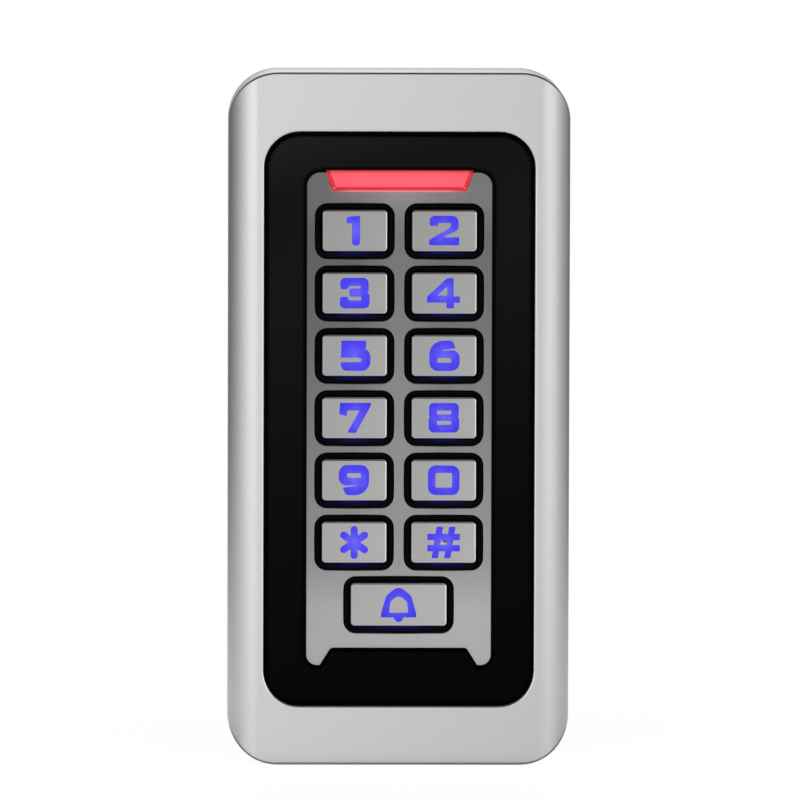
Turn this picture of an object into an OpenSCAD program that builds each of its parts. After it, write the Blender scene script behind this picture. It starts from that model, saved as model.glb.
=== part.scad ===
// Keypad access reader for a wall: a die-cast housing with a black bezel, a recessed metal
// faceplate with thirteen backlit keys, a status lens, and a hook-on wall plate behind.
// X is to the right, +Y goes into the wall and Z is up. The wall is the plane y = 0, and
// every depth below is a distance in front of the wall, so a depth d lies at y = -d.

/* [Housing] */
// Width of the housing
housing_w = 71.6; // [71:0.1:76]
// Height of the housing
housing_h = 145; // [144:0.5:152]
// Depth from the wall to the front face
housing_d = 24; // [24:0.1:25]
// Corner radius of the outline, seen from the front
outline_r = 10.5; // [9:0.5:12]
// Radius of the two rounded long edges
edge_r = 7.2; // [6.5:0.1:7.4]
// Angle at which each long edge's arc meets the flat front
edge_crease = 7; // [0:1:10]
// Thickness of the front wall
front_wall = 2.5; // [2.2:0.1:2.6]
// Thickness of the side walls at the back
side_wall = 2.5; // [2.2:0.1:2.8]
// Width of the ledge that the rear cover's gasket sits on
ledge_w = 2.5; // [2.2:0.1:2.6]

/* [Bezel and faceplate] */
// Width of the bezel
bezel_w = 56.2; // [56:0.1:57]
// Height of the bezel
bezel_h = 120; // [119.6:0.1:121]
// Corner radius of the bezel
bezel_r = 7.3; // [6:0.1:8]
// Visible width of the faceplate
face_w = 38.6; // [38.5:0.1:39]
// Visible height of the faceplate
face_h = 103.2; // [102.6:0.1:103.6]
// How far the faceplate lies behind the bezel's front
face_recess = 1; // [0.8:0.1:1.2]
// Thickness of the faceplate
face_t = 1.5; // [1.4:0.1:1.6]
// Height of the land at the bottom of the bezel's opening
land_h = 3.65; // [3:0.05:4]
// Width of that land at its top edge
land_top_w = 28.4; // [26:0.1:30]
// Width of that land at its bottom edge
land_bottom_w = 33; // [31:0.1:34]

/* [Status lens] */
// Width of the lens at its top edge
lens_top_w = 30.8; // [30:0.1:32]
// Width of the lens at its bottom edge
lens_bottom_w = 28; // [26:0.1:29]
// Visible height of the lens
lens_h = 4.2; // [3.8:0.1:4.4]
// Height of the lens's top edge above the centre
lens_top_z = 52.1; // [52:0.05:52.3]
// Width of the bevel round the lens's face
lens_bevel = 0.8; // [0.3:0.1:0.8]

/* [Keys] */
// Distance of each column of keys from the centre line
column_x = 9.35; // [9.3:0.05:9.5]
// Distance between two rows of keys
row_pitch = 13.05; // [12.9:0.05:13.1]
// Height of the first row above the centre
first_row_z = 39.5; // [39.3:0.1:39.5]
// Width of a key cap
cap_w = 13.6; // [13.2:0.1:13.7]
// Height of a key cap
cap_h = 8.65; // [8.4:0.05:8.8]
// Width of the bell key's cap
bell_cap_w = 20.1; // [19.6:0.1:20.3]
// Height of the bell key's cap
bell_cap_h = 9; // [8.7:0.1:9.1]
// Width of the black collar that shows beside each cap
collar_w = 1.45; // [1.4:0.05:1.5]
// How far each cap sits above the middle of its collar
cap_lift = 0.15; // [0:0.05:0.15]
// How far a key travels
key_travel = 1; // [0.8:0.1:1]

/* [Wall mounting] */
// Radius of the four wall screw holes
wall_hole_r = 2.25; // [2:0.05:2.6]
// Distance across between the wall screw holes
wall_hole_x = 40; // [36:1:42]
// Distance up between the wall screw holes
wall_hole_z = 100; // [96:1:102]
// Distance between the two slots for a single-gang wall box
gang_pitch = 83.3; // [82:0.1:84]
// Bore radius of the cable grommet
cable_r = 2.75; // [2.5:0.05:3]

/* [Hidden] */
key_names = ["1", "2", "3", "4", "5", "6", "7", "8", "9", "0", "star", "hash", "bell"];
fixed_nodes = [
    "front_housing", "bezel", "bezel_seal", "faceplate", "indicator_lens", "key_mat",
    "main_board", "tact_switches", "backlight_leds", "status_leds", "antenna_coil",
    "buzzer", "relay", "capacitor", "microcontroller", "wire_connector", "tamper_sensor",
    "tamper_window", "board_screws", "bezel_screws", "rear_gasket", "rear_cover",
    "rear_cover_screws", "cable_grommet", "wall_plate", "security_screw"
];
$fn = 64;

// small allowances
slip = 0.1;      // gap between parts that are dropped into each other
thread_gap = 0.02; // gap between a screw and its thread
through = 1;     // how far a cutter runs past the face it opens

// depths in front of the wall, from the back to the front
plate_t = 1.5;
cover_back = 5.6;
cover_t = 2;
cover_front = cover_back + cover_t;
gasket_t = 0.8;
ledge_d = cover_front + gasket_t;
board_t = 1.6;
board_front = 15;
board_back = board_front - board_t;
seal_t = 0.5;
wall_inner = housing_d - front_wall;
flange_front = wall_inner - seal_t;
flange_t = 1.3;
flange_back = flange_front - flange_t;
face_front = housing_d - face_recess;
face_back = face_front - face_t;
mat_t = 1.5;
mat_back = face_back - mat_t;
collar_front = face_front - 0.3;
cap_front = housing_d;
cap_skin = 1;
cap_back = cap_front - 3;
web_front = mat_back - 0.6;
web_t = 0.8;
nub_t = 0.7;
lens_front = face_front + 0.8;
lens_flange_t = 1.2;
lens_flange_w = 34;
lens_flange_h = 4.8;
lens_flange_z = lens_top_z - 2.8;
lens_flare = (lens_top_w - lens_bottom_w) / 2 / lens_h; // lean of the lens's two ends

// outlines behind the front
recess_w = housing_w - 2 * side_wall;
recess_h = housing_h - 2 * side_wall;
recess_r = outline_r - side_wall;
cavity_w = recess_w - 2 * ledge_w;
cavity_h = recess_h - 2 * ledge_w;
cavity_r = 5;
flange_w = bezel_w + 4;
flange_h = bezel_h + 4;
pocket_w = face_w + 2.3;
pocket_h = face_h + 2.4;
pocket_r = 3.5;
board_w = cavity_w - 2;
board_h = cavity_h - 14;
mat_wall = 1.4;
mat_fit = 0.25;

// screws and the bosses that hold them
boss_x = 24;
boss_z = 64.5;
boss_r = 3.3;
cover_screw_r = 1.5;
cover_screw_l = 8;
post_x = 27.3;
post_z = 50;
post_r = 1.9;
board_screw_r = 1;
board_hole_d = 19; // depth that the holes in the bezel's posts reach
bezel_screw_x = 28.2;
bezel_screw_z = 60.1;
bezel_screw_l = 3.4;
security_d = 3.2;
security_r = 1.5;
security_head_r = 2.6;
security_head_t = 1.2;
lip_t = 1.5;
lip_z = -67;
hook_d = 4.3;
hook_x = 18;
hook_w = 8;

// cable way
window_w = 34;
window_h = 26;
window_z = -21;
grommet_seat_r = 4.2;
tamper_z = 36;

zinc = [0.78, 0.78, 0.77];
plate_grey = [0.52, 0.52, 0.52];
cap_grey = [0.66, 0.66, 0.65];
black = [0.05, 0.05, 0.05];
steel = [0.7, 0.7, 0.72];

function last(list) = len(list) - 1;
function is_bell(i) = i == last(key_names);
function key_x(i) = is_bell(i) ? 0 : (i % 2 == 0 ? -column_x : column_x);
function key_z(i) = first_row_z - floor(i / 2) * row_pitch;
function key_w(i) = is_bell(i) ? bell_cap_w : cap_w;
function key_h(i) = is_bell(i) ? bell_cap_h : cap_h;

// ---- outlines ----

function unit(v) = v / norm(v);

// Points of the arc of radius r that rounds the corner b between its neighbours a and c
function corner(a, b, c, r) =
    let (
        to_a = unit(a - b),
        to_c = unit(c - b),
        half = acos(to_a * to_c) / 2,
        centre = b + unit(to_a + to_c) * r / sin(half),
        from = b + to_a * r / tan(half) - centre,
        side = to_a.x * to_c.y - to_a.y * to_c.x > 0 ? 1 : -1,
        turn = side * (180 - 2 * half),
        steps = max(2, ceil(abs(turn) / 18))
    )
    [for (k = [0:steps]) let (t = -turn * k / steps)
        centre + [from.x * cos(t) - from.y * sin(t), from.x * sin(t) + from.y * cos(t)]];

// An outline from corners [x, y, r], each rounded by its own r
function rounded(pts) =
    [for (i = [0:last(pts)])
        let (
            n = len(pts),
            a = pts[(i + n - 1) % n],
            b = pts[i],
            c = pts[(i + 1) % n]
        )
        each (b.z == 0 ? [[b.x, b.y]] : corner([a.x, a.y], [b.x, b.y], [c.x, c.y], b.z))];

module outline(pts) polygon(rounded(pts));

module rounded_rect(w, h, r) {
    square([w - 2 * r, h], center = true);
    square([w, h - 2 * r], center = true);
    for (x = [-1, 1], y = [-1, 1])
        translate([x * (w / 2 - r), y * (h / 2 - r)]) circle(r);
}

// A flat outline given depth: it fills the space from depth d0 to depth d1
module slab(d0, d1) rotate([90, 0, 0]) translate([0, 0, d0]) linear_extrude(d1 - d0) children();

// A round bar along the depth, from depth d0 to depth d1
module bar(x, z, r, d0, d1, r1 = undef)
    translate([x, -d0, z]) rotate([90, 0, 0])
        cylinder(h = d1 - d0, r1 = r, r2 = is_undef(r1) ? r : r1);

module at_corners(x, z) for (sx = [-1, 1], sz = [-1, 1]) translate([sx * x, 0, sz * z]) children();

module at_posts() for (sx = [-1, 1], row = [-1, 0, 1]) translate([sx * post_x, 0, row * post_z]) children();

module at_key(i) translate([key_x(i), 0, key_z(i)]) children();

// ---- housing ----

// The section across the housing. The arcs of the long edges run on past the flat front, which
// cuts them off at the crease angle.
module side_profile() linear_extrude(housing_h + 2 * through, center = true) {
    arc_d = housing_d - edge_r * cos(edge_crease);
    translate([-housing_w / 2, -arc_d]) square([housing_w, arc_d]);
    translate([edge_r - housing_w / 2, -housing_d]) square([housing_w - 2 * edge_r, edge_r + 1]);
    for (side = [-1, 1])
        translate([side * (housing_w / 2 - edge_r), -arc_d]) circle(edge_r);
}

module hook_pockets() for (side = [-1, 1])
    translate([side * hook_x, lip_t / 2 - hook_d, housing_h / 2 - side_wall])
        cube([hook_w + 0.6, 2.1, 3], center = true);

module security_hole() translate([0, -security_d, -housing_h / 2]) {
    translate([0, 0, -through]) cylinder(h = side_wall + 2 * through, r = security_r + 0.15);
    translate([0, 0, -through]) cylinder(h = through + security_head_t, r = security_head_r + 0.15);
}

module front_housing() color(zinc) {
    difference() {
        intersection() {
            slab(0, housing_d) rounded_rect(housing_w, housing_h, outline_r);
            side_profile();
        }
        slab(-through, ledge_d) rounded_rect(recess_w, recess_h, recess_r);
        difference() {
            slab(ledge_d - through, wall_inner) rounded_rect(cavity_w, cavity_h, cavity_r);
            at_corners(boss_x, boss_z) bar(0, 0, boss_r, cover_front, housing_d);
        }
        slab(wall_inner - through, housing_d + through)
            rounded_rect(bezel_w + 2 * slip, bezel_h + 2 * slip, bezel_r + slip);
        at_corners(boss_x, boss_z)
            bar(0, 0, cover_screw_r + thread_gap, cover_front - through, cover_back + cover_screw_l + 0.9);
        at_corners(bezel_screw_x, bezel_screw_z)
            bar(0, 0, board_screw_r + thread_gap, flange_back, flange_back + bezel_screw_l + 0.3);
        hook_pockets();
        security_hole();
    }
}

// ---- bezel, seal and faceplate ----

// The window that shows the faceplate: a land rises from its bottom edge, and the lens
// cuts into its top edge
module face_window() {
    side = face_w / 2;
    top = face_h / 2;
    lens_x = lens_top_w / 2 + slip;
    notch_x = lens_x - (lens_top_z - top) * lens_flare;
    outline([
        [-side, top, 2.8],
        [-notch_x, top, 0],
        [-lens_x, lens_top_z + slip, 0],
        [lens_x, lens_top_z + slip, 0],
        [notch_x, top, 0],
        [side, top, 2.8],
        [side, -top, 2.2],
        [land_bottom_w / 2, -top, 0.4],
        [land_top_w / 2, land_h - top, 1],
        [-land_top_w / 2, land_h - top, 1],
        [-land_bottom_w / 2, -top, 0.4],
        [-side, -top, 2.2]
    ]);
}

module bezel() color(black) difference() {
    union() {
        slab(flange_back, housing_d) rounded_rect(bezel_w, bezel_h, bezel_r);
        slab(flange_back, flange_front) rounded_rect(flange_w, flange_h, 2.5);
        at_posts() bar(0, 0, post_r, board_front, flange_back + 0.5);
    }
    slab(flange_back - through, face_front) rounded_rect(pocket_w, pocket_h, pocket_r);
    slab(face_front - through, housing_d + through) face_window();
    at_corners(boss_x, boss_z) bar(0, 0, boss_r + 0.2, flange_back - through, wall_inner);
    at_corners(bezel_screw_x, bezel_screw_z) bar(0, 0, board_screw_r + 0.1, 18, wall_inner + 0.5);
    at_posts() bar(0, 0, board_screw_r + thread_gap, board_front - through, board_hole_d);
}

module bezel_seal() color("dimgray") difference() {
    slab(flange_front, wall_inner) rounded_rect(flange_w, flange_h, 2.5);
    slab(flange_front - through, wall_inner + through) rounded_rect(bezel_w, bezel_h, bezel_r);
    at_corners(boss_x, boss_z) bar(0, 0, boss_r + 0.2, flange_back, wall_inner + through);
    at_corners(bezel_screw_x, bezel_screw_z) bar(0, 0, board_screw_r + 0.1, 18, wall_inner + through);
}

module key_opening(i) translate([0, -cap_lift]) offset_rect(key_w(i), key_h(i), collar_w, 2.6);

// The lens's outline, grown by `grow` at its sides and bottom and carried on by `up` at its top
module lens_outline(grow, up) {
    top_x = lens_top_w / 2 + grow + up * lens_flare;
    bottom_x = lens_bottom_w / 2 + grow;
    bottom = lens_top_z - lens_h - grow;
    outline([
        [-top_x, lens_top_z + up, 0],
        [top_x, lens_top_z + up, 0],
        [bottom_x, bottom, 0.4],
        [-bottom_x, bottom, 0.4]
    ]);
}

module faceplate() color(plate_grey) difference() {
    slab(face_back, face_front) rounded_rect(pocket_w - 2 * slip, pocket_h - 2 * slip, pocket_r - slip);
    for (i = [0:last(key_names)])
        at_key(i) slab(face_back - through, face_front + through) key_opening(i);
    slab(face_back - through, face_front + through) lens_outline(slip, through);
}

// The lens drops in from behind and is held by its flange
module indicator_lens() color([0.9, 0.15, 0.2]) {
    hull() {
        slab(face_back, lens_front - lens_bevel) lens_outline(0, 0);
        slab(lens_front - 0.1, lens_front) lens_outline(-lens_bevel, 0);
    }
    slab(face_back - lens_flange_t, face_back)
        translate([0, lens_flange_z]) square([lens_flange_w, lens_flange_h], center = true);
}

// ---- keys ----

// One sheet of silicone: collars round the caps, a thin floor with a nub under each key,
// and a wall all round that stands on the board
module key_mat() color("black") difference() {
    union() {
        slab(mat_back, face_back)
            rounded_rect(pocket_w - 2 * slip, pocket_h - 2 * slip, pocket_r - slip);
        difference() {
            slab(board_front, mat_back)
                rounded_rect(pocket_w - 2 * slip, pocket_h - 2 * slip, pocket_r - slip);
            slab(board_front - through, mat_back)
                rounded_rect(pocket_w - 2 * mat_wall, pocket_h - 2 * mat_wall, 2);
        }
        for (i = [0:last(key_names)]) at_key(i) {
            slab(face_back, collar_front)
                translate([0, -cap_lift]) offset_rect(key_w(i), key_h(i), collar_w - slip, 2.5);
            slab(web_front - web_t, mat_back) offset_rect(key_w(i), key_h(i), 1, 1.5);
            bar(0, 0, 1.5, web_front - web_t - nub_t, web_front - web_t);
        }
    }
    for (i = [0:last(key_names)]) at_key(i)
        slab(web_front, collar_front + through) offset_rect(key_w(i), key_h(i), mat_fit, 1);
    slab(mat_back - through, face_back + through)
        translate([0, lens_flange_z]) square([lens_flange_w + 0.4, lens_flange_h + 0.4], center = true);
}

module offset_rect(w, h, grow, r) rounded_rect(w + 2 * grow, h + 2 * grow, r);

// A metal cap: a hollow shell whose front skin is cut by the legend
module key_cap(i) color(cap_grey) at_key(i) difference() {
    slab(cap_back, cap_front) rounded_rect(key_w(i), key_h(i), 0.8);
    slab(cap_back - through, cap_front - cap_skin) rounded_rect(key_w(i) - 1.4, key_h(i) - 1.4, 0.4);
    legend_relief(i, through);
}

// The front half of the skin is cut by the whole legend. A rib crosses the rear half and
// holds the islands inside closed figures.
module legend_relief(i, beyond) {
    slab(cap_front - cap_skin / 2, cap_front + beyond) glyph(key_names[i]);
    difference() {
        slab(cap_front - cap_skin - beyond, cap_front - cap_skin / 2 + 0.01) glyph(key_names[i]);
        translate([-0.3, -cap_front + cap_skin / 2, -5]) cube([0.6, 5, 10]);
    }
}

// Clear plastic: the legend, the block that fills the cap behind it and the foot that
// rests on the mat
module key_legend(i) color([0.3, 0.25, 1]) at_key(i) {
    legend_relief(i, 0);
    slab(cap_back + 0.2, cap_front - cap_skin) rounded_rect(key_w(i) - 1.4, key_h(i) - 1.4, 0.4);
    slab(web_front, cap_back + 0.2) rounded_rect(key_w(i) - 4, key_h(i) - 4, 0.4);
}

// ---- legends, drawn about the middle of the cap ----

module stroke(length, width, angle) rotate(angle) {
    square([length - width, width], center = true);
    for (end = [-1, 1]) translate([end * (length - width) / 2, 0]) circle(width / 2);
}

module slot(x0, x1, y0, y1, r) outline([[x0, y0, r], [x1, y0, r], [x1, y1, r], [x0, y1, r]]);

module six() difference() {
    outline([
        [2.45, 1.6, 0.1], [1.7, 3.15, 0.7], [-3.1, 3.15, 2.9], [-3.1, -3.2, 1.8],
        [3.25, -3.2, 1.8], [3.25, 1.25, 1.6], [-1.5, 0.95, 0.05]
    ]);
    slot(-1.4, 1.5, -1.45, -0.5, 0.25);
}

module glyph(name) {
    if (name == "1") outline([
        [1.1, 3.15, 0.1], [-1.75, 2.9, 0.6], [-1.75, 1.5, 0.45], [-0.6, 1.5, 0.1],
        [-0.6, -3.1, 0.75], [1.1, -3.1, 0.75]
    ]);
    if (name == "2") outline([
        [-3.1, 3.15, 1], [2.95, 3.15, 1.3], [2.95, 0.2, 1.1], [-0.5, -1.35, 0.15],
        [3.1, -1.35, 0.2], [3.1, -3, 0.2], [-3.2, -3, 0.2], [-3.2, -1.9, 0.5],
        [1.3, 0.75, 0.3], [1.3, 1.65, 0.2], [-1.3, 1.65, 0.2], [-1.3, 1.05, 0.2],
        [-3.1, 1.05, 0.4]
    ]);
    if (name == "3") outline([
        [-3, 3.2, 1], [2.9, 3.2, 1.1], [2.9, 0.55, 0.5], [2.65, 0.15, 0.2],
        [3.1, -0.3, 0.4], [3.1, -3.2, 1.2], [-3.1, -3.2, 1], [-3.1, -0.75, 0.5],
        [-1.45, -0.75, 0.2], [-1.2, -1.5, 0.1], [1.35, -1.5, 0.1], [1.35, -0.75, 0.1],
        [-1.1, -0.75, 0.3], [-1.1, 1, 0.3], [1.2, 1, 0.1], [1.2, 1.5, 0.1],
        [-1.1, 1.5, 0.2], [-1.55, 0.8, 0.2], [-3, 0.8, 0.5]
    ]);
    if (name == "4") difference() {
        outline([
            [1.95, 3.2, 0.25], [0.6, 3.2, 0.9], [-3.6, -0.7, 0.3], [-3.6, -1.95, 0.15],
            [0.45, -1.95, 0.15], [0.45, -3.15, 0.2], [2, -3.15, 0.2], [2, -1.95, 0.1],
            [3.25, -1.95, 0.2], [3.25, -0.65, 0.2], [1.95, -0.65, 0.1]
        ]);
        outline([[0.6, 1.45, 0.1], [0.6, -0.45, 0.1], [-1.5, -0.45, 0.1]]);
    }
    if (name == "5") outline([
        [-2.75, 3.15, 0.1], [2.4, 3.15, 0.1], [2.4, 1.6, 0.1], [0.9, 1.55, 0.1],
        [3.3, 1.3, 1.6], [3.3, -3.2, 1.8], [-2.85, -3.2, 1.2], [-2.85, -1.4, 0.1],
        [1.4, -1.35, 0.35], [1.4, -0.45, 0.35], [-2.85, -0.45, 0.1]
    ]);
    if (name == "6") six();
    if (name == "7") outline([
        [-3, 3.15, 0.15], [3.5, 3.15, 0.1], [3.35, 2.4, 0.3], [0.3, -3.15, 0.3],
        [-1.5, -3.1, 0.15], [1.05, 1.55, 0.1], [-1.4, 1.55, 0.15], [-1.6, 0.35, 0.15],
        [-3.2, 0.8, 0.2]
    ]);
    if (name == "8") difference() {
        outline([
            [-3.1, 3.15, 0.9], [3.1, 3.15, 0.9], [3.1, 0.5, 0.4], [2.95, 0.15, 0.2],
            [3.2, -0.2, 0.4], [3.2, -3.05, 1.1], [-3.2, -3.05, 1.1], [-3.2, -0.2, 0.4],
            [-2.95, 0.15, 0.2], [-3.1, 0.5, 0.4]
        ]);
        slot(-1.45, 1.5, 0.75, 1.55, 0.1);
        slot(-1.45, 1.5, -1.4, -0.6, 0.1);
    }
    if (name == "9") rotate(180) six();
    if (name == "0") difference() {
        slot(-3.3, 3.3, -3.1, 3.1, 1.6);
        slot(-1.72, 1.72, -1.53, 1.53, 0.3);
    }
    if (name == "star") for (angle = [90, 35, -35]) stroke(angle == 90 ? 6.9 : 6.8, 1.5, angle);
    if (name == "hash") {
        for (x = [-1.3, 1.3]) outline([
            [x - 0.15, 3.3, 0.15], [x + 1.2, 3.3, 0.15], [x + 0.15, -3.3, 0.15], [x - 1.2, -3.3, 0.15]
        ]);
        for (y = [-1.2, 1.15]) slot(-3.4, 3.4, y - 0.68, y + 0.68, 0.15);
    }
    if (name == "bell") difference() {
        union() {
            outline([
                [-3.8, -2.7, 0.35], [-3.5, -1.2, 1.5], [-2.6, 1.9, 1.5], [0, 4, 1.7],
                [2.6, 1.9, 1.5], [3.5, -1.2, 1.5], [3.8, -2.7, 0.35]
            ]);
            translate([0, -2.7]) circle(0.95);
        }
        outline([
            [-2, -1.7, 0.25], [2, -1.7, 0.25], [1.75, 0.6, 0.8], [0, 2, 1.1], [-1.75, 0.6, 0.8]
        ]);
    }
}

// ---- electronics ----

module main_board() color("darkgreen") difference() {
    slab(board_back, board_front) rounded_rect(board_w, board_h, 3);
    at_posts() bar(0, 0, board_screw_r + 0.15, board_back - through, board_front + through);
}

module tact_switches() color("silver") for (i = [0:last(key_names)]) at_key(i) {
    slab(board_front, board_front + 1.4) square(4.5, center = true);
    bar(0, 0, 1, board_front + 1.4, web_front - web_t - nub_t - key_travel);
}

module backlight_leds() color("royalblue") for (i = [0:last(key_names)]) at_key(i)
    slab(board_front, board_front + 0.6)
        for (side = [-1, 1]) translate([3.6 * side, 0]) square([0.8, 1.6], center = true);

module status_leds() color("white") for (x = [-9, 0, 9]) translate([x, 0, 49.3]) difference() {
    slab(board_front, board_front + 1.9) square([3.5, 2.8], center = true);
    bar(0, 0, 1.1, board_front + 1.3, board_front + 1.9 + through);
}

module antenna_coil() color([0.72, 0.4, 0.2]) difference() {
    slab(board_front, board_front + 3.4) rounded_rect(48, 112.6, 5);
    slab(board_front - through, board_front + 3.4 + through) rounded_rect(42.2, 106.8, 2.5);
}

module buzzer() color("black") difference() {
    bar(-16, 16, 6, board_back - 5, board_back);
    bar(-16, 16, 1, board_back - 5 - through, board_back - 4);
}

module relay() color("white") translate([15, 0, 18])
    slab(board_back - 5, board_back) rounded_rect(10.5, 15.5, 0.5);

module capacitor() color("navy") translate([-18, -board_back + 2.7, -20]) {
    cylinder(h = 8, r = 2.6, center = true);
    translate([0, 1.35, 0]) cube([4.6, 2.7, 8.4], center = true);
}

module microcontroller() color("dimgray") translate([17, 0, -12]) {
    slab(board_back - 1.6, board_back - 0.2) square(10, center = true);
    for (turn = [0:3]) rotate([0, 90 * turn, 0]) for (k = [-4:4]) translate([k, 0, 5])
        slab(board_back - 0.9, board_back) translate([0, 0.4]) square([0.4, 1.2], center = true);
}

module wire_connector() color("ivory") translate([0, 0, -44]) difference() {
    slab(board_back - 5, board_back) square([22, 6], center = true);
    slab(board_back - 5 - through, board_back - 1)
        for (k = [-4:4]) translate([2.2 * k, 0]) square([1.4, 3.6], center = true);
}

module tamper_sensor() color("tan") {
    bar(0, tamper_z, 2.5, board_back - 2.6, board_back - 0.6);
    for (x = [-1.2, 1.2]) bar(x, tamper_z, 0.3, board_back - 0.6, board_back);
}

// ---- back ----

module rear_gasket() color("dimgray") difference() {
    slab(cover_front, ledge_d) rounded_rect(recess_w - 0.6, recess_h - 0.6, recess_r - 0.3);
    slab(cover_front - through, ledge_d + through) rounded_rect(cavity_w + 0.4, cavity_h + 0.4, cavity_r);
    at_corners(boss_x, boss_z) bar(0, 0, boss_r + 0.2, cover_front - through, ledge_d + through);
}

module rear_cover() color(black) difference() {
    slab(cover_back, cover_front) rounded_rect(recess_w - 0.4, recess_h - 0.4, recess_r - 0.2);
    at_corners(boss_x, boss_z) {
        bar(0, 0, cover_screw_r + 0.1, cover_back - through, cover_front + through);
        bar(0, 0, 3.1, cover_back - 0.01, cover_back + 1.5, cover_screw_r + 0.1);
    }
    bar(0, window_z, grommet_seat_r, cover_back - through, cover_front + through);
    bar(0, tamper_z, 3, cover_back - through, cover_front + through);
}

module tamper_window() color("lightcyan", 0.6) bar(0, tamper_z, 3, cover_back, cover_front);

module cable_grommet() color("black") translate([0, 0, window_z]) difference() {
    union() {
        bar(0, 0, 6, cover_back - 1.2, cover_back);
        bar(0, 0, grommet_seat_r, cover_back - 1.2, cover_front + 1.2);
        bar(0, 0, 6, cover_front, cover_front + 1.2);
    }
    bar(0, 0, cable_r, cover_back - 1.2 - through, cover_front + 1.2 + through);
}

// A stamped steel plate: hooks at the top, a tapped lip at the bottom
module wall_plate() color(steel) {
    difference() {
        slab(0, plate_t) rounded_rect(61, 2 * -lip_z, 5);
        at_corners(wall_hole_x / 2, wall_hole_z / 2) bar(0, 0, wall_hole_r, -through, plate_t + through);
        for (side = [-1, 1]) translate([0, 0, side * gang_pitch / 2]) {
            for (end = [-1, 1]) bar(0, 2 * end, 2, -through, plate_t + through);
            slab(-through, plate_t + through) square([4, 4], center = true);
        }
        translate([0, 0, window_z]) slab(-through, plate_t + through) rounded_rect(window_w, window_h, 3);
    }
    for (side = [-1, 1]) translate([side * hook_x - hook_w / 2, 0, 0]) {
        translate([0, -hook_d, -lip_z - lip_t]) cube([hook_w, hook_d, lip_t]);
        translate([0, -hook_d, -lip_z - lip_t]) cube([hook_w, lip_t, 5.7]);
    }
    difference() {
        translate([-8, -5.3, lip_z]) cube([16, 5.3, lip_t]);
        translate([0, -security_d, lip_z - through])
            cylinder(h = lip_t + 2 * through, r = security_r + thread_gap);
    }
}

// ---- fasteners ----

// A pan-head screw along the depth: the head's back is at depth d, the tip at d + length
module pan_screw(d, r, length, head_r, head_t) difference() {
    union() {
        bar(0, 0, head_r, d - head_t, d);
        bar(0, 0, r, d, d + length);
    }
    slab(d - head_t - through, d - head_t / 2) {
        square([head_r, 0.4], center = true);
        square([0.4, head_r], center = true);
    }
}

module board_screws() color(steel) at_posts() pan_screw(board_back, board_screw_r, 5, 1.9, 1.3);

module bezel_screws() color(steel) at_corners(bezel_screw_x, bezel_screw_z)
    pan_screw(flange_back, board_screw_r, bezel_screw_l, 1.8, 1.2);

module rear_cover_screws() color(steel) at_corners(boss_x, boss_z) difference() {
    union() {
        bar(0, 0, 2.9, cover_back + 0.05, cover_back + 1.45, cover_screw_r);
        bar(0, 0, cover_screw_r, cover_back + 1.4, cover_back + cover_screw_l);
    }
    slab(cover_back - through, cover_back + 0.9) {
        square([2.6, 0.6], center = true);
        square([0.6, 2.6], center = true);
    }
}

// The security screw: a six-sided socket with a pin in its middle
module security_screw() color(steel) translate([0, -security_d, -housing_h / 2]) {
    difference() {
        translate([0, 0, 0.1]) cylinder(h = security_head_t - 0.1, r = security_head_r);
        translate([0, 0, -through]) cylinder(h = through + 0.9, r = 1.4, $fn = 6);
    }
    translate([0, 0, 0.2]) cylinder(h = 1, r = 0.45);
    translate([0, 0, security_head_t]) cylinder(h = 7, r = security_r);
}

front_housing();
bezel();
bezel_seal();
faceplate();
indicator_lens();
key_mat();
main_board();
tact_switches();
backlight_leds();
status_leds();
antenna_coil();
buzzer();
relay();
capacitor();
microcontroller();
wire_connector();
tamper_sensor();
tamper_window();
board_screws();
bezel_screws();
rear_gasket();
rear_cover();
rear_cover_screws();
cable_grommet();
wall_plate();
security_screw();
for (i = [0:last(key_names)]) {
    key_cap(i);
    key_legend(i);
}
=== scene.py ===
"""A wall keypad reader: a satin metal housing, a black bezel, a recessed metal faceplate with
backlit keys and a lit status lens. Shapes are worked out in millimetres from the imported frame:
X is to the right, Z is up, and a depth is a distance in front of the wall, towards -Y."""

import math

import bpy
import bmesh
from mathutils import Matrix, Vector, geometry


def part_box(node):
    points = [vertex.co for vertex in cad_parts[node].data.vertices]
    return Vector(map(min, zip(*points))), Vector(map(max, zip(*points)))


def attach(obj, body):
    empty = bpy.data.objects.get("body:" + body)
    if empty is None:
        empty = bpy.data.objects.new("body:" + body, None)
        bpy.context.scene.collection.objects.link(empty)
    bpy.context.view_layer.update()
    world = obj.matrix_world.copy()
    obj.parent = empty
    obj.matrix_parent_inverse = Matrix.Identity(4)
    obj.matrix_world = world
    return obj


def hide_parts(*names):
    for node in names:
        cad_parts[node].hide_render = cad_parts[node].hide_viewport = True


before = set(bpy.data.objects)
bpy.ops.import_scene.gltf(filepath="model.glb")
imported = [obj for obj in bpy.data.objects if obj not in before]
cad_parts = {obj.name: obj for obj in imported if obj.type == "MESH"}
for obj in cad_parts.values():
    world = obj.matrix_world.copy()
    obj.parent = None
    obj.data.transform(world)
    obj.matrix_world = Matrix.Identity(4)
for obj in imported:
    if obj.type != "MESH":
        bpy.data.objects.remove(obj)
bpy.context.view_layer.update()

MM = 0.001
ARC_STEPS = 10
FIT_GAP = 0.1
OVERLAP = 0.1
FIXED_BODY = "reader"
KEYS = [name[len("key_"):] for name in sorted(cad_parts)
        if name.startswith("key_") and name != "key_mat"]


# ---- sizes read from the frame, in millimetres ----

class Extent:
    """A CAD node's box: centre, width, height, and its back and front depth."""

    def __init__(self, node):
        lo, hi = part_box(node)
        self.x = (lo.x + hi.x) / 2 / MM
        self.z = (lo.z + hi.z) / 2 / MM
        self.w = (hi.x - lo.x) / MM
        self.h = (hi.z - lo.z) / MM
        self.back = -hi.y / MM
        self.front = -lo.y / MM
        self.top = hi.z / MM
        self.bottom = lo.z / MM


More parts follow.
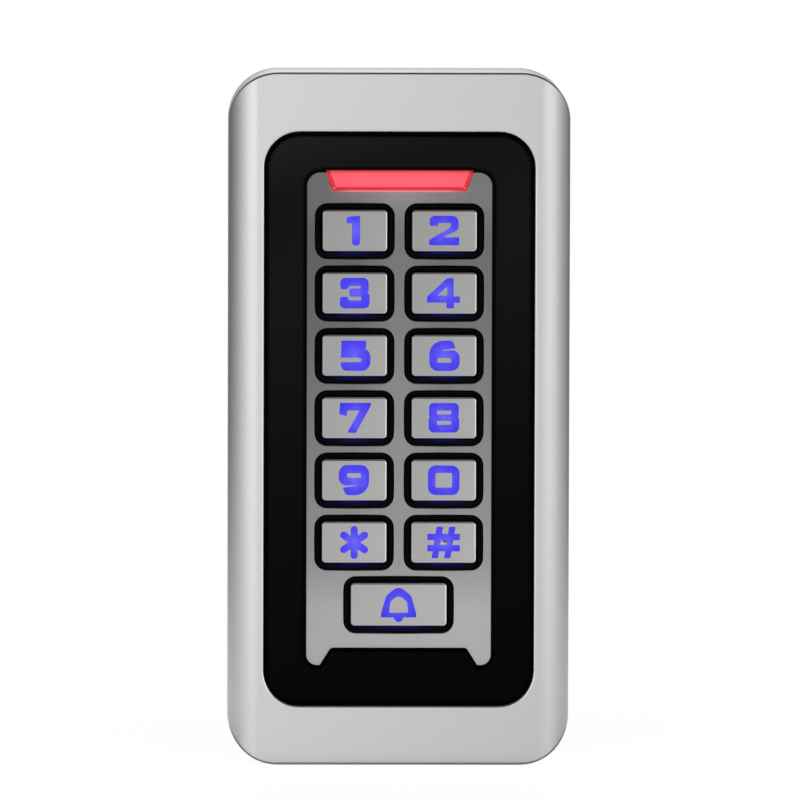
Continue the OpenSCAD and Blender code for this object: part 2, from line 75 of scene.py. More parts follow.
HOUSING = Extent("front_housing")
FLANGE = Extent("bezel")
PLATE = Extent("faceplate")
LENS = Extent("indicator_lens")
MAT = Extent("key_mat")
LOCK_SCREW = Extent("security_screw")
WALL_PLATE = Extent("wall_plate")
KEY = {name: Extent("key_" + name) for name in KEYS}

# housing
OUTLINE_R = 10.5
SIDE_R = 7.2
SIDE_CREASE = math.radians(7)
EDGE_R = 0.5
SIDE_WALL = 2.5
FRONT_WALL = 2.5
LEDGE_W = 2.5
LEDGE_DEPTH = 8.4
LIP_R = 0.5
SCREW_R = 1.5
SCREW_HEAD_T = 1.2
SCREW_GAP = 0.15
CAVITY_R = 5
FLAT_STEPS = 8
CURVED_STEPS = 28
HOOK_X = 18
HOOK_POCKET_W = 8.6
HOOK_POCKET_DEPTHS = (2.5, 4.6)

# bezel
BEZEL_W = FLANGE.w - 4
BEZEL_H = FLANGE.h - 4
BEZEL_R = 7.3
BEZEL_GAP = 0.1
BEZEL_ROLL = 1.2
WINDOW_ROLL = 1.3
FLANGE_T = 1.3
FLANGE_R = 2.5
SEAL_T = 0.5
NOTCH_FLARE = 0.6
BOSS_X = 27.3
BOSS_ROWS = (-50, 0, 50)
BOSS_R = 1.9

# faceplate and its window
PLATE_R = 3.4
FACE_W = PLATE.w - 2.1
FACE_H = PLATE.h - 2.2
LAND_H = 3.65
LAND_TOP_W = 28.4
LAND_BOTTOM_W = 33
COLLAR_W = 1.45
COLLAR_EDGE = 0.25
COLLAR_LIP = 0.2
OPENING_R = 2.6
OPENING_BOW = 0.1
OPENING_EDGE = 0.18
CAP_LIFT = 0.15

# lens
LENS_TOP_W = 30.8
LENS_BOTTOM_W = 28
LENS_H = 4.2
LENS_R = 0.4
LENS_TOP = LENS.top
LENS_BEVEL = 0.8
LENS_LEAN = (LENS_TOP_W - LENS_BOTTOM_W) / 2 / LENS_H

# silicone mat
MAT_WALL = 1.3
MAT_R = 3.4
SHEET_T = 1.5
FLOOR_RECESS = 0.65
FLOOR_T = 0.8
NUB_R = 1.5
NUB_H = 0.6
KEY_GAP = 0.25

# keys
CAP_EDGE = 0.4
CAP_R = 0.8
KEY_TRAVEL = 1

# stage
FLOOR_R = 700
# the map that places the painted blue glow on the silicone
PAINTED_LEAK_MAP = "painted_light_leak"
# how bright the studio is around the object, at angles to the right of straight in front
STUDIO = (
    (-180, 1.5), (-172, 0.9), (-162, 0.2), (-150, 0.12), (-138, 0.1), (-115, 0.19), (-95, 0.37),
    (-80, 0.58), (-62, 0.93), (-45, 1.32), (-32, 1.56), (-16, 1.22), (0, 1.05), (14, 1), (30, 1.28),
    (48, 1.6), (62, 1.34), (78, 0.95), (95, 0.6), (115, 0.4), (138, 0.2), (150, 0.15), (162, 0.2),
    (172, 0.9), (180, 1.5)
)


# ---- outlines: lists of (x, z) points, anticlockwise ----

def corner_arc(before, at, after, radius):
    """Points of the arc that rounds the corner `at`. A radius of 0 keeps the corner."""
    if radius == 0:
        return [Vector(at)]
    to_before = (Vector(before) - Vector(at)).normalized()
    to_after = (Vector(after) - Vector(at)).normalized()
    half = to_before.angle(to_after) / 2
    centre = Vector(at) + (to_before + to_after).normalized() * (radius / math.sin(half))
    start = Vector(at) + to_before * (radius / math.tan(half)) - centre
    left_turn = to_before.x * to_after.y - to_before.y * to_after.x < 0
    turn = (math.pi - 2 * half) * (1 if left_turn else -1)
    return [centre + Matrix.Rotation(turn * k / ARC_STEPS, 2) @ start for k in range(ARC_STEPS + 1)]


def outline(corners):
    """An outline from corners (x, z, radius)."""
    points = []
    for i, (x, z, radius) in enumerate(corners):
        before = corners[i - 1][:2]
        after = corners[(i + 1) % len(corners)][:2]
        points += corner_arc(before, (x, z), after, radius)
    return points


def rectangle(w, h, r, x=0, z=0):
    """Corners of a rounded rectangle about (x, z)."""
    return [(x + sx * w / 2, z + sz * h / 2, r) for sx, sz in ((1, -1), (1, 1), (-1, 1), (-1, -1))]


def grown(corners, distance):
    """The corners moved outwards by a distance, with their radii changed to match."""
    result = []
    for i, (x, z, radius) in enumerate(corners):
        at = Vector((x, z))
        into = (at - Vector(corners[i - 1][:2])).normalized()
        out_of = (Vector(corners[(i + 1) % len(corners)][:2]) - at).normalized()
        normal = (Vector((into.y, -into.x)) + Vector((out_of.y, -out_of.x))).normalized()
        shift = distance / normal.dot(Vector((into.y, -into.x)))
        convex = into.x * out_of.y - into.y * out_of.x > 0
        new_radius = max(radius + (distance if convex else -distance), 0.05) if radius else 0
        result.append((x + normal.x * shift, z + normal.y * shift, new_radius))
    return result


# ---- meshes built from loops of points ----

class Skin:
    """A closed surface built from loops of points and the faces between them."""

    def __init__(self):
        self.points = []
        self.faces = []

    def loop(self, points, depth):
        """Adds (x, z) points at one depth, or at a depth given for each. Returns their numbers."""
        start = len(self.points)
        for k, point in enumerate(points):
            d = depth[k] if isinstance(depth, list) else depth
            self.points.append((point[0] * MM, -d * MM, point[1] * MM))
        return list(range(start, len(self.points)))

    def bridge(self, a, b):
        """Joins two loops that have the same number of points."""
        for i in range(len(a)):
            j = (i + 1) % len(a)
            self.faces.append((a[i], a[j], b[j], b[i]))

    def strip(self, a, b):
        """Joins two open rows that have the same number of points."""
        for i in range(len(a) - 1):
            self.faces.append((a[i], a[i + 1], b[i + 1], b[i]))

    def chain(self, loops):
        for a, b in zip(loops, loops[1:]):
            self.bridge(a, b)

    def fill(self, outer, holes=()):
        """Closes a flat region that faces along Y, leaving its holes open."""
        rings = [outer, *holes]
        flat = [[Vector((self.points[i][0], self.points[i][2], 0)) / MM for i in ring] for ring in rings]
        numbers = [i for ring in rings for i in ring]
        for triangle in geometry.tessellate_polygon(flat):
            self.faces.append(tuple(numbers[i] for i in triangle))

    def prism(self, points, back, front):
        """A closed block with the same outline from its back to its front."""
        ends = [self.loop(points, back), self.loop(points, front)]
        self.chain(ends)
        for end in ends:
            self.fill(end)

    def bar(self, x, z, radius, back, front, sides=32):
        """A round bar along the depth."""
        turns = [math.tau * k / sides for k in range(sides)]
        self.prism([(x + radius * math.cos(t), z + radius * math.sin(t)) for t in turns], back, front)

    def shape(self, name):
        """Makes a plain object whose faces all look outwards."""
        mesh = bpy.data.meshes.new(name)
        mesh.from_pydata(self.points, [], self.faces)
        bm = bmesh.new()
        bm.from_mesh(mesh)
        bmesh.ops.recalc_face_normals(bm, faces=bm.faces)
        bm.to_mesh(mesh)
        bm.free()
        return placed(name, mesh)

    def build(self, name, material, sharp=40, cutters=()):
        """Makes the finished object, cut by other shapes. Edges sharper than an angle stay hard."""
        obj = self.shape(name)
        obj.data.materials.append(material)
        for cutter in cutters:
            cut(obj, cutter)
        soften(obj, sharp)
        return obj


def placed(name, mesh):
    """An object in the scene that shows a mesh."""
    obj = bpy.data.objects.new(name, mesh)
    bpy.context.scene.collection.objects.link(obj)
    return obj


def cut(obj, cutter):
    """Takes a closed shape out of an object, and removes the shape."""
    difference = obj.modifiers.new("cut", "BOOLEAN")
    difference.operation = "DIFFERENCE"
    difference.solver = "EXACT"
    difference.object = cutter
    with bpy.context.temp_override(object=obj):
        bpy.ops.object.modifier_apply(modifier="cut")
    bpy.data.objects.remove(cutter)


def upright_bar(x, depth, radius, low, high):
    """A round bar that stands upright between two heights."""
    bm = bmesh.new()
    middle = Vector((x, -depth, (low + high) / 2)) * MM
    bmesh.ops.create_cone(bm, cap_ends=True, segments=48, radius1=radius * MM, radius2=radius * MM,
                          depth=(high - low) * MM, matrix=Matrix.Translation(middle))
    mesh = bpy.data.meshes.new("bar")
    bm.to_mesh(mesh)
    bm.free()
    return placed("bar", mesh)


def soften(obj, sharp):
    """Smooth shading in which large flat faces stay flat."""
    obj.data.shade_smooth()
    obj.data.set_sharp_from_angle(angle=math.radians(sharp))
    weighted = obj.modifiers.new("flat faces", "WEIGHTED_NORMAL")
    weighted.mode = "FACE_AREA"
    weighted.weight = 90
    weighted.keep_sharp = True


def quarter(steps):
    """(sine, cosine) pairs from 0 to 90 degrees."""
    angles = [math.pi / 2 * k / steps for k in range(steps + 1)]
    return [(math.sin(a), math.cos(a)) for a in angles]


# ---- materials ----

class Nodes:
    """A node tree with short ways to add and link the nodes that it needs."""

    def __init__(self, tree):
        self.tree = tree

    def link(self, output, socket):
        self.tree.links.new(output, socket)

    def part(self, vector, axis):
        """One part of a vector: X, Y or Z."""
        split = self.tree.nodes.new("ShaderNodeSeparateXYZ")
        self.link(vector, split.inputs[0])
        return split.outputs[axis]

    def math(self, operation, *values):
        node = self.tree.nodes.new("ShaderNodeMath")
        node.operation = operation
        for socket, value in zip(node.inputs, values):
            if isinstance(value, (int, float)):
                socket.default_value = value
            else:
                self.link(value, socket)
        return node.outputs[0]

    def scaled(self, value, low, high, from_low=0.3, from_high=0.7):
        """A value carried from one range to another, and held at its ends."""
        node = self.tree.nodes.new("ShaderNodeMapRange")
        limits = {"From Min": from_low, "From Max": from_high, "To Min": low, "To Max": high}
        for socket, number in limits.items():
            node.inputs[socket].default_value = number
        self.link(value, node.inputs["Value"])
        return node.outputs[0]

    def ramp(self, value, *stops):
        """Colours along a value: stops are (position, colour)."""
        node = self.tree.nodes.new("ShaderNodeValToRGB")
        elements = node.color_ramp.elements
        for element, (position, colour) in zip(elements, (stops[0], stops[-1])):
            element.position = position
            element.color = (*colour, 1)
        for position, colour in stops[1:-1]:
            elements.new(position).color = (*colour, 1)
        self.link(value, node.inputs["Fac"])
        return node.outputs["Color"]

    def mixed(self, factor, first, second):
        """A colour between two: `first` is a plain colour and `second` comes from a node."""
        node = self.tree.nodes.new("ShaderNodeMix")
        node.data_type = "RGBA"
        node.inputs["A"].default_value = (*first, 1)
        self.link(factor, node.inputs["Factor"])
        self.link(second, node.inputs["B"])
        return node.outputs["Result"]

    def length(self, *values):
        """The length of a vector from its parts."""
        total = 0
        for value in values:
            total = self.math("ADD", total, self.math("MULTIPLY", value, value))
        return self.math("SQRT", total)


class Surface(Nodes):
    """A Principled material with its texture nodes in object coordinates, scaled to millimetres."""

    def __init__(self, name, **settings):
        self.material = bpy.data.materials.new(name)
        self.material.use_nodes = True
        super().__init__(self.material.node_tree)
        self.shader = self.tree.nodes["Principled BSDF"]
        for socket, value in settings.items():
            self.shader.inputs[socket.replace("_", " ")].default_value = value
        self.coordinates = self.tree.nodes.new("ShaderNodeTexCoord")
        scale = self.tree.nodes.new("ShaderNodeVectorMath")
        scale.operation = "SCALE"
        scale.inputs["Scale"].default_value = 1 / MM
        self.link(self.coordinates.outputs["Object"], scale.inputs[0])
        self.place = scale.outputs[0]

    def noise(self, size, detail=3):
        """Noise whose features are about `size` millimetres across."""
        noise = self.tree.nodes.new("ShaderNodeTexNoise")
        noise.inputs["Scale"].default_value = 1 / size
        noise.inputs["Detail"].default_value = detail
        self.link(self.place, noise.inputs["Vector"])
        return noise.outputs["Fac"]

    def axis(self, name):
        """One object coordinate in millimetres: X, Y or Z."""
        return self.part(self.place, name)

    def across(self):
        """0 at the left end of the object and 1 at its right end."""
        return self.part(self.coordinates.outputs["Generated"], "X")

    def within(self, axis, reach):
        """1 where the object coordinate is nearer to the middle than that, and 0 beyond."""
        return self.math("LESS_THAN", self.math("ABSOLUTE", self.axis(axis)), reach)

    def normal(self, axis):
        """One part of the direction that the surface faces in: X, Y or Z."""
        return self.part(self.tree.nodes.new("ShaderNodeNewGeometry").outputs["Normal"], axis)

    def facing(self):
        """1 where the surface faces straight out of the wall, 0 where it is edge on."""
        return self.math("MULTIPLY", self.normal("Y"), -1)

    def tinted(self, colour, factor):
        """A colour multiplied by a factor that varies."""
        node = self.tree.nodes.new("ShaderNodeVectorMath")
        node.operation = "SCALE"
        self.link(colour, node.inputs[0])
        self.link(factor, node.inputs["Scale"])
        return node.outputs[0]

    def colour(self, output):
        self.link(output, self.shader.inputs["Base Color"])

    def rough(self, value, low, high):
        self.link(self.scaled(value, low, high), self.shader.inputs["Roughness"])

    def bump(self, value, height, strength=1.0):
        """Relief of that height in millimetres."""
        node = self.tree.nodes.new("ShaderNodeBump")
        node.inputs["Distance"].default_value = height * MM
        node.inputs["Strength"].default_value = strength
        self.link(value, node.inputs["Height"])
        self.link(node.outputs[0], self.shader.inputs["Normal"])


NICKEL = (1, 1, 0.985)


def grey(level, tint=(1, 1, 1)):
    return tuple(level * t for t in tint)


def grained(name, dark, light, grain, rough, relief, **settings):
    """A surface whose colour, roughness and relief follow one fine grain."""
    surface = Surface(name, **settings)
    fine = surface.noise(grain, detail=4)
    surface.colour(surface.ramp(fine, (0.3, dark), (0.7, light)))
    surface.rough(fine, *rough)
    surface.bump(fine, relief)
    return surface.material


def satin_zinc():
    """Satin nickel, with painted light that makes it a little brighter at its top left. The lip round the
    bezel is polished. The top wall has painted shade that darkens it near the wall behind it, and its front
    edge is a painted dark line."""
    surface = Surface("satin_zinc", Metallic=0.9)
    fine = surface.noise(0.25, detail=4)
    # painted light: the housing is a little brighter towards its top left and darker towards its bottom
    # right
    painted_shade_slope = surface.math("SUBTRACT", surface.axis("Z"), surface.math("MULTIPLY", surface.axis("X"), 5))
    # painted shade on the top wall: darker near the wall behind it, a little lighter towards its front, and
    # a painted dark line on its rounded front edge
    upward = surface.math("MULTIPLY", surface.scaled(surface.normal("Z"), 0, 1, 0.2, 0.6),
                          surface.math("GREATER_THAN", surface.axis("Z"), BEZEL_H / 2 + 2))
    painted_edge_line = surface.math("MULTIPLY", surface.scaled(surface.facing(), 0, 1, 0.05, 0.3),
                            surface.scaled(surface.facing(), 0.75, 0, 0.8, 0.97))
    painted_top_shade = surface.math("ADD", painted_edge_line, surface.scaled(surface.axis("Y"), -0.1, 0.6, -12, 0))
    shade = surface.math("MULTIPLY", surface.scaled(painted_shade_slope, 0.965, 1.155, -200, 200),
                         surface.math("SUBTRACT", 1, surface.math("MULTIPLY", upward, painted_top_shade)))
    satin = surface.tinted(surface.ramp(fine, (0.3, grey(0.62, NICKEL)), (0.7, grey(0.67, NICKEL))), shade)
    inside = surface.math("MULTIPLY", surface.within("X", BEZEL_W / 2 + 1),
                          surface.within("Z", BEZEL_H / 2 + 1))
    polished = surface.math("MULTIPLY", inside, surface.scaled(surface.facing(), 1, 0, 0.95, 0.99))
    dull = surface.math("SUBTRACT", 1, polished)
    surface.colour(surface.mixed(dull, grey(0.74, NICKEL), satin))
    rough = surface.math("MULTIPLY", surface.scaled(fine, 0.31, 0.37), surface.scaled(dull, 0.6, 1, 0, 1))
    surface.link(rough, surface.shader.inputs["Roughness"])
    surface.bump(fine, 0.004)
    return surface.material


def bezel_plastic():
    """Black, with a painted sheen that is deeper towards the bottom right, and painted shade that is
    deepest where it rolls over its edges.
    """
    surface = Surface("bezel_plastic", Specular_IOR_Level=0.02)
    fine = surface.noise(0.3, detail=4)
    # painted reflection: the black is lighter towards the top left and deeper towards the bottom right
    painted_shade_slope = surface.math("SUBTRACT", surface.axis("Z"), surface.math("MULTIPLY", surface.axis("X"), 0.3))
    painted_sheen = surface.ramp(surface.scaled(painted_shade_slope, 0, 1, -60, 70), (0.0, grey(0.0015)), (0.25, grey(0.0026)),
                         (0.45, grey(0.0048)), (0.7, grey(0.0095)), (0.88, grey(0.0085)), (1.0, grey(0.02)))
    # painted shade where the bezel rolls over its edges
    rolled = surface.scaled(surface.facing(), 0.1, 1, 0.93, 1)
    shade = surface.math("MULTIPLY", rolled, surface.scaled(fine, 0.85, 1.15))
    surface.colour(surface.tinted(painted_sheen, shade))
    surface.rough(fine, 0.26, 0.32)
    surface.bump(fine, 0.003)
    return surface.material


def faceplate_metal():
    """Satin metal with painted shade that brightens it towards the bottom, a painted highlight streak down
    its upper middle and painted highlights on its cut edges. A painted red glow just below the lens stands
    for the lens's light on it."""
    surface = Surface("faceplate_metal", Metallic=0.85, Emission_Strength=1.0)
    fine = surface.noise(0.18, detail=4)
    up = surface.axis("Z")
    aside = surface.math("ABSOLUTE", surface.axis("X"))
    # painted shade: the plate is darker near its top and brighter towards its bottom
    level = surface.ramp(
        surface.scaled(up, 0, 1, -50, 50), (0.0, grey(0.49)), (0.1, grey(0.485)), (0.2, grey(0.35)),
        (0.3, grey(0.315)), (0.5, grey(0.248)), (0.7, grey(0.187)), (0.88, grey(0.163)), (0.95, grey(0.205))
    )
    # painted highlight: a soft light streak down the plate's upper middle
    streak = surface.math("MULTIPLY", surface.scaled(aside, 0.33, 0, 2, 9),
                          surface.scaled(up, 0, 1, -35, 15))
    # painted highlight on the plate's rounded cut edges
    edges = surface.scaled(surface.facing(), 0.8, 0, 0.8, 0.99)
    lighter = surface.math("ADD", surface.math("ADD", streak, edges), surface.scaled(fine, 0.93, 1.07))
    # painted shade: darker at the left and lighter at the right, most towards the top
    painted_sideways_shade = surface.math("MULTIPLY", surface.axis("X"), surface.scaled(up, 0.002, 0.007, -45, 30))
    shade = surface.math("MULTIPLY", surface.math("ADD", painted_sideways_shade, 1), lighter)
    surface.colour(surface.tinted(level, shade))
    surface.rough(fine, 0.40, 0.48)
    surface.bump(fine, 0.005)
    # painted light: the plate glows red just below the lens, standing for the lens's light falling on it
    below = surface.scaled(surface.math("SUBTRACT", LENS_TOP - LENS_H - BEZEL_GAP, up), 0, 1, 0, 4)
    glow = surface.ramp(
        below, (0.0, (0.80, 0.26, 0.26)), (0.03, (0.55, 0.14, 0.14)), (0.07, (0.14, 0.03, 0.025)),
        (0.15, (0.05, 0.03, 0.025)), (0.5, (0.03, 0.026, 0.022)), (1.0, (0.0, 0.0, 0.0))
    )
    painted_lens_glow_mask = surface.scaled(aside, 1, 0, LENS_BOTTOM_W / 2 - 4, LENS_BOTTOM_W / 2 + 1)
    surface.link(surface.tinted(glow, painted_lens_glow_mask), surface.shader.inputs["Emission Color"])
    return surface.material


def cap_metal():
    """Satin metal with painted shade that makes it brighter towards its right and on the lower keys. Its
    cut edges are smoother, and carry a painted highlight that is brightest on those that face right."""
    surface = Surface("cap_metal", Metallic=0.9)
    fine = surface.noise(0.15, detail=4)
    face = surface.scaled(surface.facing(), 0, 1, 0.90, 0.985)
    # painted highlight on the cap's cut edges, brightest where they face right
    edges = surface.math("MULTIPLY", surface.math("SUBTRACT", 1, face),
                         surface.scaled(surface.normal("X"), 0, 1.1, -0.3, 0.5))
    # painted shade: brighter towards each cap's right and on the lower keys
    painted_shade_slope = surface.math("MULTIPLY", surface.scaled(surface.axis("Z"), 1.155, 0.945, -40, 42),
                         surface.scaled(surface.across(), 0.95, 1.06, 0, 1))
    shade = surface.math("MULTIPLY", painted_shade_slope, surface.math("ADD", edges, 1))
    satin = surface.ramp(fine, (0.3, grey(0.40, NICKEL)), (0.7, grey(0.44, NICKEL)))
    surface.colour(surface.tinted(satin, shade))
    rough = surface.math("MULTIPLY", surface.scaled(fine, 0.34, 0.40), surface.scaled(face, 0.5, 1, 0, 1))
    surface.link(rough, surface.shader.inputs["Roughness"])
    surface.bump(fine, 0.003)
    return surface.material


def collar_silicone():
    """Black silicone. A painted blue glow just below each cap stands for backlight leaking onto it."""
    surface = Surface("collar_silicone", Specular_IOR_Level=0.03, Emission_Strength=1.0)
    fine = surface.noise(0.2)
    surface.colour(surface.ramp(fine, (0.3, grey(0.001)), (0.7, grey(0.003))))
    surface.rough(fine, 0.5, 0.6)
    # painted light: the silicone glows blue just below each cap, standing for the backlight leaking onto it
    uv = surface.tree.nodes.new("ShaderNodeUVMap")
    uv.uv_map = PAINTED_LEAK_MAP
    across = surface.math("ABSOLUTE", surface.part(uv.outputs[0], "X"))
    below = surface.part(uv.outputs[0], "Y")
    middle = surface.scaled(across, 1, 0, 0.25, 0.95)
    band = surface.scaled(below, 1, 0, 0.0, 1.25)
    started = surface.scaled(below, 0, 1, -0.3, -0.25)
    painted_leak = surface.math("MULTIPLY", surface.math("MULTIPLY", middle, band), started)
    glow = surface.ramp(painted_leak, (0.0, (0, 0, 0)), (0.5, (0.0015, 0.0015, 0.03)), (1.0, (0.008, 0.008, 0.12)))
    surface.link(glow, surface.shader.inputs["Emission Color"])
    return surface.material


def lens_red():
    surface = Surface("lens_red", Base_Color=(0.25, 0.003, 0.005, 1), Roughness=0.25, Emission_Strength=1.0,
                      Specular_IOR_Level=0.12)
    glow = surface.ramp(surface.facing(), (0.6, (0.40, 0.006, 0.008)), (0.98, (1.0, 0.125, 0.175)))
    aside = surface.math("ABSOLUTE", surface.axis("X"))
    fade = surface.math("MULTIPLY", surface.scaled(surface.axis("Z"), 1, 0.3, LENS_TOP - 0.8, LENS_TOP),
                        surface.scaled(aside, 1, 0.88, 8, LENS_TOP_W / 2))
    surface.link(surface.tinted(glow, fade), surface.shader.inputs["Emission Color"])
    return surface.material


def legend_blue(key):
    """Blue light that is paler towards the middle of the key."""
    surface = Surface("legend_blue_" + key, Base_Color=(0.01, 0.01, 0.1, 1), Roughness=0.35,
                      Specular_IOR_Level=0.2, Emission_Strength=1.0)
    distance = surface.length(surface.math("SUBTRACT", surface.axis("X"), KEY[key].x),
                              surface.math("SUBTRACT", surface.axis("Z"), KEY[key].z))
    patch = surface.scaled(surface.noise(1.6), -0.8, 0.8)
    reach = surface.math("DIVIDE", surface.math("ADD", distance, patch), 4.5)
    glow = surface.ramp(reach, (0.0, (0.14, 0.115, 0.84)), (0.5, (0.065, 0.05, 0.80)),
                        (1.0, (0.03, 0.022, 0.68)))
    surface.link(glow, surface.shader.inputs["Emission Color"])
    return surface.material


# ---- housing ----

def side_depth(x):
    """Depth of the housing's front surface: flat in the middle, round towards the two sides."""
    centre = HOUSING.w / 2 - SIDE_R
    lift = SIDE_R * (1 - math.cos(SIDE_CREASE))
    past = abs(x) - centre
    if past <= SIDE_R * math.sin(SIDE_CREASE):
        return HOUSING.front
    return HOUSING.front + lift - SIDE_R + math.sqrt(max(SIDE_R ** 2 - past ** 2, 0))


def housing_stations():
    """Angles round the outline's corner, from its top to its side, with one exactly at the crease."""
    arc_x = HOUSING.w / 2 - OUTLINE_R
    crease_x = HOUSING.w / 2 - SIDE_R + SIDE_R * math.sin(SIDE_CREASE)
    crease = math.asin((crease_x - arc_x) / (OUTLINE_R - EDGE_R))
    flat = [crease * k / FLAT_STEPS for k in range(FLAT_STEPS + 1)]
    rest = math.pi / 2 - crease
    curved = [crease + rest * k / CURVED_STEPS for k in range(1, CURVED_STEPS + 1)]
    return flat, curved


def housing_column(skin, side, angle):
    """One upright section: top wall, rounded edge, front surface, rounded edge, bottom wall."""
    arc_x = HOUSING.w / 2 - OUTLINE_R
    arc_z = HOUSING.h / 2 - OUTLINE_R
    points = []
    depths = []
    for s, c in quarter(5):
        reach = OUTLINE_R - EDGE_R * (1 - c)
        x = arc_x + reach * math.sin(angle)
        points.append((side * x, arc_z + reach * math.cos(angle)))
        depths.append(side_depth(x) - EDGE_R * (1 - s))
    lower = [(x, -z) for x, z in reversed(points)]
    points = [points[0]] + points + lower + [lower[-1]]
    depths = [0] + depths + depths[::-1] + [0]
    return skin.loop(points, depths)


def housing_mesh():
    skin = Skin()
    flat, curved = housing_stations()
    rows = {}
    for side in (-1, 1):
        rows[side] = [housing_column(skin, side, angle) for angle in flat + curved]
        for a, b in zip(rows[side][len(flat) - 1:], rows[side][len(flat):]):
            skin.strip(a, b)
    front = len(rows[1][0]) // 2
    for side in (-1, 1):
        last = rows[side][-1]
        skin.strip(last[:front], last[:front - 1:-1])
    for side in (-1, 1):
        for a, b in zip(rows[side][:len(flat) - 1], rows[side][1:len(flat)]):
            skin.strip(a[:front], b[:front])
            skin.strip(a[front:], b[front:])
    left, right = rows[-1][0], rows[1][0]
    skin.strip(left[:front], right[:front])
    skin.strip(left[front:], right[front:])

    top = [r[front - 1] for r in rows[-1][len(flat) - 1::-1]] + [r[front - 1] for r in rows[1][:len(flat)]]
    bottom = [r[front] for r in rows[1][len(flat) - 1::-1]] + [r[front] for r in rows[-1][:len(flat)]]
    opening = rectangle(BEZEL_W + 2 * BEZEL_GAP, BEZEL_H + 2 * BEZEL_GAP, BEZEL_R + BEZEL_GAP)
    lip = [skin.loop(outline(grown(opening, LIP_R * (1 - s))), HOUSING.front - LIP_R * (1 - c))
           for s, c in quarter(5)]
    skin.fill(top + bottom, [lip[0]])

    inset = 2 * (SIDE_WALL + LEDGE_W)
    cavity = rectangle(HOUSING.w - inset, HOUSING.h - inset, CAVITY_R)
    recess = rectangle(HOUSING.w - 2 * SIDE_WALL, HOUSING.h - 2 * SIDE_WALL, OUTLINE_R - SIDE_WALL)
    inner = [
        skin.loop(outline(opening), HOUSING.front - FRONT_WALL),
        skin.loop(outline(cavity), HOUSING.front - FRONT_WALL),
        skin.loop(outline(cavity), LEDGE_DEPTH),
        skin.loop(outline(recess), LEDGE_DEPTH),
        skin.loop(outline(recess), 0),
    ]
    skin.chain(lip + inner)
    back = [r[0] for r in rows[-1][::-1]] + [r[0] for r in rows[1]]
    back += [r[-1] for r in rows[1][::-1]] + [r[-1] for r in rows[-1]]
    skin.fill(back, [inner[-1]])
    return skin


def housing_cutters():
    """The security screw's hole in the bottom wall, and the hooks' pockets in the top wall."""
    depth = (LOCK_SCREW.back + LOCK_SCREW.front) / 2
    head_r = LOCK_SCREW.w / 2 + SCREW_GAP
    low = HOUSING.bottom
    cutters = [
        upright_bar(0, depth, head_r, low - 1, low + SCREW_HEAD_T),
        upright_bar(0, depth, SCREW_R + SCREW_GAP, low, low + SIDE_WALL + 1)
    ]
    top = WALL_PLATE.top + 0.3
    bottom = HOUSING.top - SIDE_WALL - 1
    for x in (-HOOK_X, HOOK_X):
        pocket = Skin()
        opening = rectangle(HOOK_POCKET_W, top - bottom, 0, x, (top + bottom) / 2)
        pocket.prism(outline(opening), *HOOK_POCKET_DEPTHS)
        cutters.append(pocket.shape("pocket"))
    return cutters


def make_housing(material):
    housing = housing_mesh().build("housing_shell", material, sharp=30, cutters=housing_cutters())
    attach(housing, FIXED_BODY)
    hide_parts("front_housing")


# ---- bezel ----

def window_corners():
    """The window onto the faceplate: a land rises from its bottom edge, and the lens cuts its top."""
    side = FACE_W / 2
    top = FACE_H / 2
    lens_x = LENS_TOP_W / 2 + BEZEL_GAP
    notch_x = lens_x - (LENS_TOP - top) * LENS_LEAN
    return [
        (-side, -top, 2.2), (-LAND_BOTTOM_W / 2, -top, 0.4), (-LAND_TOP_W / 2, LAND_H - top, 1),
        (LAND_TOP_W / 2, LAND_H - top, 1), (LAND_BOTTOM_W / 2, -top, 0.4), (side, -top, 2.2),
        (side, top, 2.8), (notch_x, top, 0), (lens_x, LENS_TOP + BEZEL_GAP, 0),
        (-lens_x, LENS_TOP + BEZEL_GAP, 0), (-notch_x, top, 0), (-side, top, 2.8)
    ]


def window_roll(corners):
    """The outline where the bezel's flat front starts to roll into the window. It runs straight
    past the lens's notch."""
    outer = grown(corners, WINDOW_ROLL)
    top = FACE_H / 2 + WINDOW_ROLL
    notch = [i for i, (x, z, r) in enumerate(corners) if r == 0]
    for i in notch:
        outer[i] = (corners[i][0], top, 0)
    outer[notch[0]] = (outer[notch[0]][0] + NOTCH_FLARE, top, 0)
    outer[notch[-1]] = (outer[notch[-1]][0] - NOTCH_FLARE, top, 0)
    return outer


def bezel_mesh():
    skin = Skin()
    front = HOUSING.front
    edge = rectangle(BEZEL_W, BEZEL_H, BEZEL_R)
    flange = rectangle(FLANGE.w, FLANGE.h, FLANGE_R)
    pocket = rectangle(PLATE.w + 2 * FIT_GAP, PLATE.h + 2 * FIT_GAP, PLATE_R + FIT_GAP)
    flange_front = front - FRONT_WALL - SEAL_T
    flange_back = flange_front - FLANGE_T
    outer = [skin.loop(outline(grown(edge, -BEZEL_ROLL * (1 - s))), front - BEZEL_ROLL * (1 - c))
             for s, c in quarter(8)]
    outer += [
        skin.loop(outline(edge), flange_front),
        skin.loop(outline(flange), flange_front),
        skin.loop(outline(flange), flange_back),
    ]
    window = outline(window_corners())
    start = outline(window_roll(window_corners()))
    recess = front - PLATE.front
    rolled = []
    for s, c in quarter(8):
        ring = [a.lerp(b, s) for a, b in zip(start, window)]
        rolled.append(skin.loop(ring, front - recess * (1 - c)))
    skin.fill(outer[0], [rolled[0]])
    inner = [skin.loop(outline(pocket), PLATE.front), skin.loop(outline(pocket), flange_back)]
    skin.chain(outer)
    skin.chain(rolled)
    skin.chain(inner)
    skin.fill(inner[0], [rolled[-1]])
    skin.fill(outer[-1], [inner[-1]])
    for x in (-BOSS_X, BOSS_X):
        for z in BOSS_ROWS:
            skin.bar(x, z, BOSS_R, FLANGE.back, flange_back + OVERLAP)
    return skin


def make_bezel(material):
    bezel = bezel_mesh().build("bezel_frame", material)
    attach(bezel, FIXED_BODY)
    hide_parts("bezel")


# ---- faceplate, lens, silicone and caps ----

